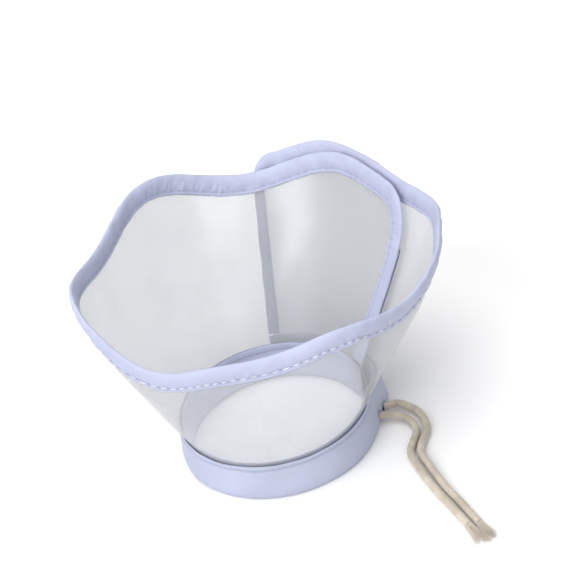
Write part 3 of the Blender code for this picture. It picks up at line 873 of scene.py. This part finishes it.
def make_neck_band(half):
    """The folded strip round the film's neck edge, with painted shade along the crease at its seam."""
    rings = []
    for length in NECK.spaced(*NECK_HALVES[half], BAND_SPACING):
        azimuth = NECK.at(length)[0]
        end = cut_end(min(length, NECK.total - length))
        lip = LIP_WAVER * noise.noise(Vector((length / (8 * MM), 2.2, 0.0)))
        ring = []
        for off, height in BAND_OUTSIDE:
            bulge = off * end + band_wrinkle(azimuth, height, 0.0) * smooth(off / 1.2)
            top = height + lip * smooth((height - 18.5) / 1.5)
            ring.append(point(azimuth, top * MM - BAND_HEIGHT - 0.25 * MM * (top > 20), bulge * MM))
        for off, height in BAND_INSIDE:
            bulge = off * end - band_wrinkle(azimuth, height, 9.0) * smooth(-off / 1.2)
            foot = point(azimuth, -BAND_HEIGHT, bulge * MM)
            ring.append(Vector((foot.x, foot.y, height * MM)))  # upright past the seam, clear of the film
        for off, height in BAND_CAVITY:
            ring.append(point(azimuth, height * MM - BAND_HEIGHT, off * MM))
        rings.append(ring)
    # painted shade along the crease at the seam, and dark painted shade in the hidden cavity round the film
    shades = [1.0 - 0.45 * bump(height, SEAM_HEIGHT, 0.45) for _, height in BAND_OUTSIDE + BAND_INSIDE]
    shades += [0.2] * len(BAND_CAVITY)
    piece = sweep(f"folded_band_{half}", rings, band_look, [shades] * len(rings), 70.0)
    if half == "outer":
        for azimuth in CORD_EXITS.values():
            drill(piece, azimuth)
    return follow(piece, half, "lavender_band", *half_nodes("neck_band", half))


def drill(piece, azimuth):
    """A round hole through the band's outer wall for the cord."""
    wall = point(azimuth, CORD_EXIT_HEIGHT - BAND_HEIGHT, 2.6 * MM)
    maker = bmesh.new()
    bmesh.ops.create_cone(
        maker, cap_ends=True, segments=28, radius1=HOLE_RADIUS, radius2=HOLE_RADIUS, depth=HOLE_DEPTH
    )
    mesh = bpy.data.meshes.new("drill")
    maker.to_mesh(mesh)
    maker.free()
    cutter = bpy.data.objects.new("drill", mesh)
    bpy.context.scene.collection.objects.link(cutter)
    cutter.location = wall
    cutter.rotation_mode = "QUATERNION"
    cutter.rotation_quaternion = outward(azimuth).to_track_quat("Z", "Y")
    cut = piece.modifiers.new("hole", "BOOLEAN")
    cut.operation = "DIFFERENCE"
    cut.object = cutter
    bpy.context.view_layer.update()
    graph = bpy.context.evaluated_depsgraph_get()
    finished = bpy.data.meshes.new_from_object(piece.evaluated_get(graph))
    piece.modifiers.clear()
    piece.data = finished
    bpy.data.objects.remove(cutter)


EYELET_STITCHES = 34
EYELET_INSIDE = 2.15 * MM
EYELET_REACH = 1.0 * MM
EYELET_THREAD = 0.16 * MM


def make_eyelet(name, azimuth):
    """Buttonhole stitches round a cord hole."""
    maker = bmesh.new()
    out, up = outward(azimuth), Vector((0, 0, 1))
    side = out.cross(up).normalized()
    middle = point(azimuth, CORD_EXIT_HEIGHT - BAND_HEIGHT, 3.0 * MM)
    for k in range(EYELET_STITCHES):
        turn = 2 * math.pi * k / EYELET_STITCHES
        ray = side * math.cos(turn) + up * math.sin(turn)
        route = []
        for share in (0.0, 0.25, 0.5, 0.75, 1.0):
            lift = (0.30 * math.sin(math.pi * share) - 0.12) * MM
            route.append(middle + ray * (EYELET_INSIDE + EYELET_REACH * share) + out * lift)
        add_stitch(maker, route, EYELET_THREAD)
    piece = finish_mesh(name, maker, lavender_thread, 60.0)
    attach(piece, "collar")


def make_neck_stitches(half):
    """The seam that closes the neck band round the film."""
    def at(length, lift, aside):
        azimuth = NECK.at(length)[0]
        off = 0.92 + 0.22 * lift ** 0.6 + band_wrinkle(azimuth, SEAM_HEIGHT, 0.0)
        return point(azimuth, SEAM_HEIGHT * MM + aside - BAND_HEIGHT, off * MM)

    first, last = NECK_HALVES[half]
    first, last = max(first, BAND_STITCH_ENDS[0]), min(last, NECK.total - BAND_STITCH_ENDS[1])
    piece = stitch_row(f"band_stitches_{half}", at, first, last, BAND_STITCH, lavender_thread)
    return follow(piece, half, "lavender_thread", *half_nodes("neck_thread", half))


# -------- drawstring
STRANDS = 3
GROOVE = 0.10  # depth of the grooves between strands, as a share of the cord's radius


def strand_radius(diameter, pitch):
    """Radius of a loosely twisted cord, at a distance along it and a turn round it."""

    def radius_at(distance, turn):
        lay = STRANDS / 2 * (turn - 2 * math.pi * distance / pitch)
        strand = abs(math.cos(lay)) ** 0.55
        soft = 0.03 * noise.noise(Vector((distance / (3 * MM), 2 * math.cos(turn), 2 * math.sin(turn))))
        return diameter / 2 * (1.0 - GROOVE + GROOVE * strand * 1.25 + soft)

    return radius_at


CASED_HEIGHT = 3.0 * MM
CASED_INSET = 0.3 * MM  # it stops short of the band's ends


def make_cased_cord(half):
    """The drawstring's run inside the neck band."""
    height = CASED_HEIGHT - BAND_HEIGHT
    first, last = NECK_HALVES[half]
    first, last = max(first, CASED_INSET), min(last, NECK.total - CASED_INSET)
    route = [point(NECK.at(length)[0], height) for length in NECK.spaced(first, last, 1.0 * MM)]
    rings = tube_rings(route, strand_radius(CASED_CORD * 0.96, 9 * MM), sides=14)
    piece = sweep(f"drawstring_{half}", rings, cotton, sharp=60.0)
    return follow(piece, half, "cotton_cord", *half_nodes("cased_cord", half))


# The tails' knots, in millimetres east and north of the neck band's rightmost point, and their height, as in
# the CAD model: each tail's own turn from its hole, then the path that both share, a spacing apart.
TAIL_STRAIGHT = {"back": 7.0 * MM, "front": 5.9 * MM}
TAIL_TURN = {
    "back": ((16.6, -7.1, 3.4), (21.9, -13.9, 2.4), (23.2, -26.3, 2.1)),
    "front": ((14.0, -15.7, 3.4), (17.5, -21.6, 2.4), (17.2, -29.0, 2.1)),
}
TAIL_PATH = ((14.5, -42.0), (16.5, -56.0), (20.5, -73.0), (26.0, -90.0), (31.0, -106.0))
TAIL_SPACING = 2.6


def tail_knots(name, side):
    """Knots of a tail's route, from its hole to its cut end; side 1 is the back strand, -1 the front one."""
    out = outward(CORD_EXITS[name])
    hole = raw_point(CORD_EXITS[name], CORD_EXIT_HEIGHT - BAND_HEIGHT, 0.0) - CENTRE
    start = hole + out * (CASED_CORD / 2 + CORD_CLEARANCE)
    east = Vector((NECK_RADIUS, 0.0, 0.0)) - CENTRE
    knots = [start, start + out * TAIL_STRAIGHT[name]]
    for x, y, height in TAIL_TURN[name]:
        knots.append(Vector((east.x + x * MM, east.y + y * MM, height * MM)))
    for x, y in TAIL_PATH:
        knots.append(Vector((east.x + (x + side * TAIL_SPACING) * MM, east.y + y * MM, CORD / 2 + 0.1 * MM)))
    return knots


def make_tail(name, side, seed):
    """A free tail of the drawstring, lying on the table, with its frayed end."""
    route = smooth_route(tail_knots(name, side), 0.6 * MM)
    rings = tube_rings(route, strand_radius(CORD * 0.97, 10 * MM), sides=24)
    piece = sweep(f"drawstring_tail_{name}", rings, cotton, sharp=60.0)
    ride(piece, "collar", "cotton_cord", f"cord_tail_{name}")
    length = sum((b - a).length for a, b in zip(route, route[1:]))
    fray = make_fray(name, route[-1], (route[-1] - route[-6]).normalized(), seed)
    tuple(route[0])


FIBRES = 110
FIBRE_ROOT = 2.5 * MM  # the fibres start this far back inside the cord
FIBRE_LENGTHS = (7.5, 14.5)  # past its end, in millimetres
FIBRE_RADII = (0.11, 0.20)
FIBRE_STEPS = 8


def make_fray(name, start, heading, seed):
    """Loose fibres at a tail's cut end, spreading and settling on the table."""
    dice = random.Random(seed)
    across = heading.cross(Vector((0, 0, 1))).normalized()
    maker = bmesh.new()
    for _ in range(FIBRES):
        angle, spread = dice.uniform(0, 2 * math.pi), math.sqrt(dice.random())
        y, z = spread * math.cos(angle), spread * math.sin(angle)
        begin = start - heading * FIBRE_ROOT + across * y * 1.55 * MM + Vector((0, 0, z * 1.5 * MM))
        reach = dice.uniform(*FIBRE_LENGTHS) * MM
        fan = (y * 2.6 + dice.gauss(0, 0.7)) * MM
        wave, phase = dice.uniform(0.1, 0.45) * MM, dice.uniform(0, 6.28)
        lift = dice.uniform(-0.4, 0.7) * MM
        route = []
        for k in range(FIBRE_STEPS + 1):
            share = k / FIBRE_STEPS
            p = begin + heading * (reach + FIBRE_ROOT) * share
            p += across * (fan * share ** 1.5 + wave * math.sin(phase + 5 * share) * share)
            p.z += lift * share - 1.1 * MM * share ** 2
            p.z = max(p.z, 0.25 * MM)
            route.append(p)
        thick = dice.uniform(*FIBRE_RADII) * MM

        def radius_at(distance, turn):
            return thick * (1.0 - 0.6 * min(1.0, distance / reach))

        add_sweep(maker, tube_rings(route, radius_at, sides=5))
    piece = finish_mesh(f"cotton_fray_{name}", maker, frayed_cotton, 60.0)
    return ride(piece, "collar", "frayed_cotton", f"frayed_end_{name}")


# -------- closure strips
STRIP_INSET = 4.2 * MM  # in from the inner end's edge
STRIP_WIDTH = 4.6 * MM
STRIP_SLANTS = (20.5 * MM, 65.5 * MM)
HOOK_OFF = 1.70 * MM  # the hook strip's back is this far off the inner end's film
HOOK_STRIP = 0.45 * MM
LOOP_OFF = 0.50 * MM  # and the loop strip's this far off the outer end's
LOOP_STRIP = 0.35 * MM
# Section of a strip: share of its width, and of its thickness.
STRIP_SECTION = (
    (0.0, 0.15), (0.03, 0.0), (0.97, 0.0), (1.0, 0.15), (1.0, 0.85), (0.97, 1.0), (0.5, 1.0), (0.03, 1.0),
    (0.0, 0.85),
)
PILE_COLUMNS = 6  # of hooks or loops
PILE_ROW = 0.95 * MM
PILE_STEPS = 5
PILE_BEND = 0.30 * MM
PILE_RADIUS = 0.07 * MM
PILE_ROOT = 0.05 * MM  # sunk this far into the strip


def strip_place(share, slant, off):
    return point(around(inner_edge(slant), slant, STRIP_INSET + STRIP_WIDTH * share), slant, off)


def loop_off(slant):
    """The loop strip hangs on the inside of the outer end's film, which lies a layer further out."""
    return layer(inner_edge(slant) + 360.0, slant) * math.cos(CONE_HALF_ANGLE) - LOOP_OFF


def add_pile(maker, dice, across, slant, base, thick, side):
    """One hook (side 1), which stops short of closing, or one loop (side -1), of its own height and turn."""
    hook = side > 0
    reach = 0.36 if hook else dice.uniform(0.25, 0.5)
    turn = 0.0 if hook else dice.uniform(-0.06, 0.06)
    route = []
    for k in range(PILE_STEPS + 1):
        bend = math.pi * (0.8 if hook else 1.0) * k / PILE_STEPS
        along = PILE_BEND * (1 - math.cos(bend))
        rise = thick + reach * MM * math.sin(bend) * (1.0 if hook else 0.9) - PILE_ROOT
        route.append(strip_place(across + turn * k / PILE_STEPS, slant + along, base + side * rise))
    add_sweep(maker, tube_rings(route, lambda distance, turn: PILE_RADIUS, sides=4, up=Vector((1, 0, 0))))


def make_strip(name, base_off, thick, side, material, body, slot):
    """A woven strip with a field of tiny hooks (side 1) or loops (side -1) on its facing side.

    base_off(slant) is how far its back lies off the inner end's film.
    """
    low, high = STRIP_SLANTS
    maker = bmesh.new()
    rings = []
    count = round((high - low) / (1.0 * MM))
    for k in range(count + 1):
        slant = low + (high - low) * k / count
        base = base_off(slant)
        ring = [strip_place(across, slant, base + side * thick * rise) for across, rise in STRIP_SECTION]
        rings.append(ring)
    add_sweep(maker, rings)
    dice = random.Random(7)
    slant = low + 1.0 * MM
    while slant < high - 0.8 * MM:
        for column in range(PILE_COLUMNS):
            across = (column + 1.0) / (PILE_COLUMNS + 1) + dice.uniform(-0.02, 0.02)
            add_pile(maker, dice, across, slant, base_off(slant), thick, side)
        slant += PILE_ROW
    piece = finish_mesh(f"closure_{name}", maker, material, 50.0)
    return ride(piece, body, slot, name)


# -------- stage, lights and camera
FLOOR = 6.0
FLOOR_DROP = 0.2 * MM


def make_stage():
    bpy.ops.mesh.primitive_plane_add(size=FLOOR, location=(0, 0, -FLOOR_DROP))
    floor = bpy.context.object
    floor.name = "floor"
    material, _, _ = new_material("floor_white", Roughness=0.9, Base_Color=(0.93, 0.93, 0.93, 1.0))
    floor.data.materials.append(material)


def add_light(name, place, aim_height, size, power):
    """A round lamp, in metres and watts, turned to a point above the collar's foot."""
    lamp = bpy.data.lights.new(name, "AREA")
    lamp.shape = "DISK"
    lamp.size = size
    lamp.energy = power
    thing = bpy.data.objects.new(name, lamp)
    thing.location = place
    thing.rotation_mode = "QUATERNION"
    thing.rotation_quaternion = (Vector((0, 0, aim_height)) - Vector(place)).to_track_quat("-Z", "Y")
    bpy.context.scene.collection.objects.link(thing)


def make_lights():
    add_light("key", (-0.95, -0.75, 1.05), 0.06, 1.4, 18.0)
    add_light("fill", (0.5, -1.2, 0.9), 0.06, 1.2, 5.0)
    add_light("top", (-0.1, 0.2, 1.5), 0.05, 1.1, 13.0)
    world = bpy.data.worlds.new("studio")
    world.use_nodes = True
    background = world.node_tree.nodes["Background"]
    background.inputs["Color"].default_value = (1.0, 1.0, 1.0, 1.0)
    background.inputs["Strength"].default_value = 0.42
    bpy.context.scene.world = world
    bpy.context.scene.view_settings.view_transform = "Standard"


CAMERA_DISTANCE = 1.5
CAMERA_ELEVATION = math.radians(38.0)
CAMERA_ROLL = math.radians(14.0)
LENS = 186.0
SENSOR = 36.0
AIM_RIGHT = 0.0047  # the frame's middle is this far right of and above the neck, in tangents
AIM_UP = 0.0386


def make_camera():
    """The camera looks down at the neck from the front, rolled, with the collar low in the frame."""
    away = Vector((0.0, -math.cos(CAMERA_ELEVATION), math.sin(CAMERA_ELEVATION)))
    right = Vector((1.0, 0.0, 0.0))
    up = away.cross(right)
    rolled_right = right * math.cos(CAMERA_ROLL) - up * math.sin(CAMERA_ROLL)
    rolled_up = up * math.cos(CAMERA_ROLL) + right * math.sin(CAMERA_ROLL)
    look = (rolled_right * AIM_RIGHT + rolled_up * AIM_UP - away).normalized()
    side = look.cross(rolled_up).normalized()
    over = side.cross(look)
    camera = bpy.data.cameras.new("camera")
    camera.lens = LENS
    camera.sensor_width = SENSOR
    camera.clip_start = 0.05
    camera.clip_end = 20.0
    thing = bpy.data.objects.new("camera", camera)
    turned = Matrix((side, over, -look)).transposed().to_4x4()
    thing.matrix_world = Matrix.Translation(NECK_CENTRE + away * CAMERA_DISTANCE) @ turned
    bpy.context.scene.collection.objects.link(thing)
    bpy.context.scene.camera = thing


make_camera()
make_tail("back", 1.0, 3)
make_tail("front", -1.0, 5)
for half in ("outer", "inner"):
    make_film(half)
    make_binding(half)
    make_stitches(half)
    make_neck_band(half)
    make_neck_stitches(half)
    make_cased_cord(half)
make_strip("loop_strip", loop_off, LOOP_STRIP, -1.0, loop_look, "outer_end", "loop_tape")
make_strip("hook_strip", lambda slant: HOOK_OFF, HOOK_STRIP, 1.0, hook_look, "inner_end", "hook_tape")
for name, azimuth in CORD_EXITS.items():
    make_eyelet(f"cord_eyelet_{name}", azimuth)
make_stage()
make_lights()
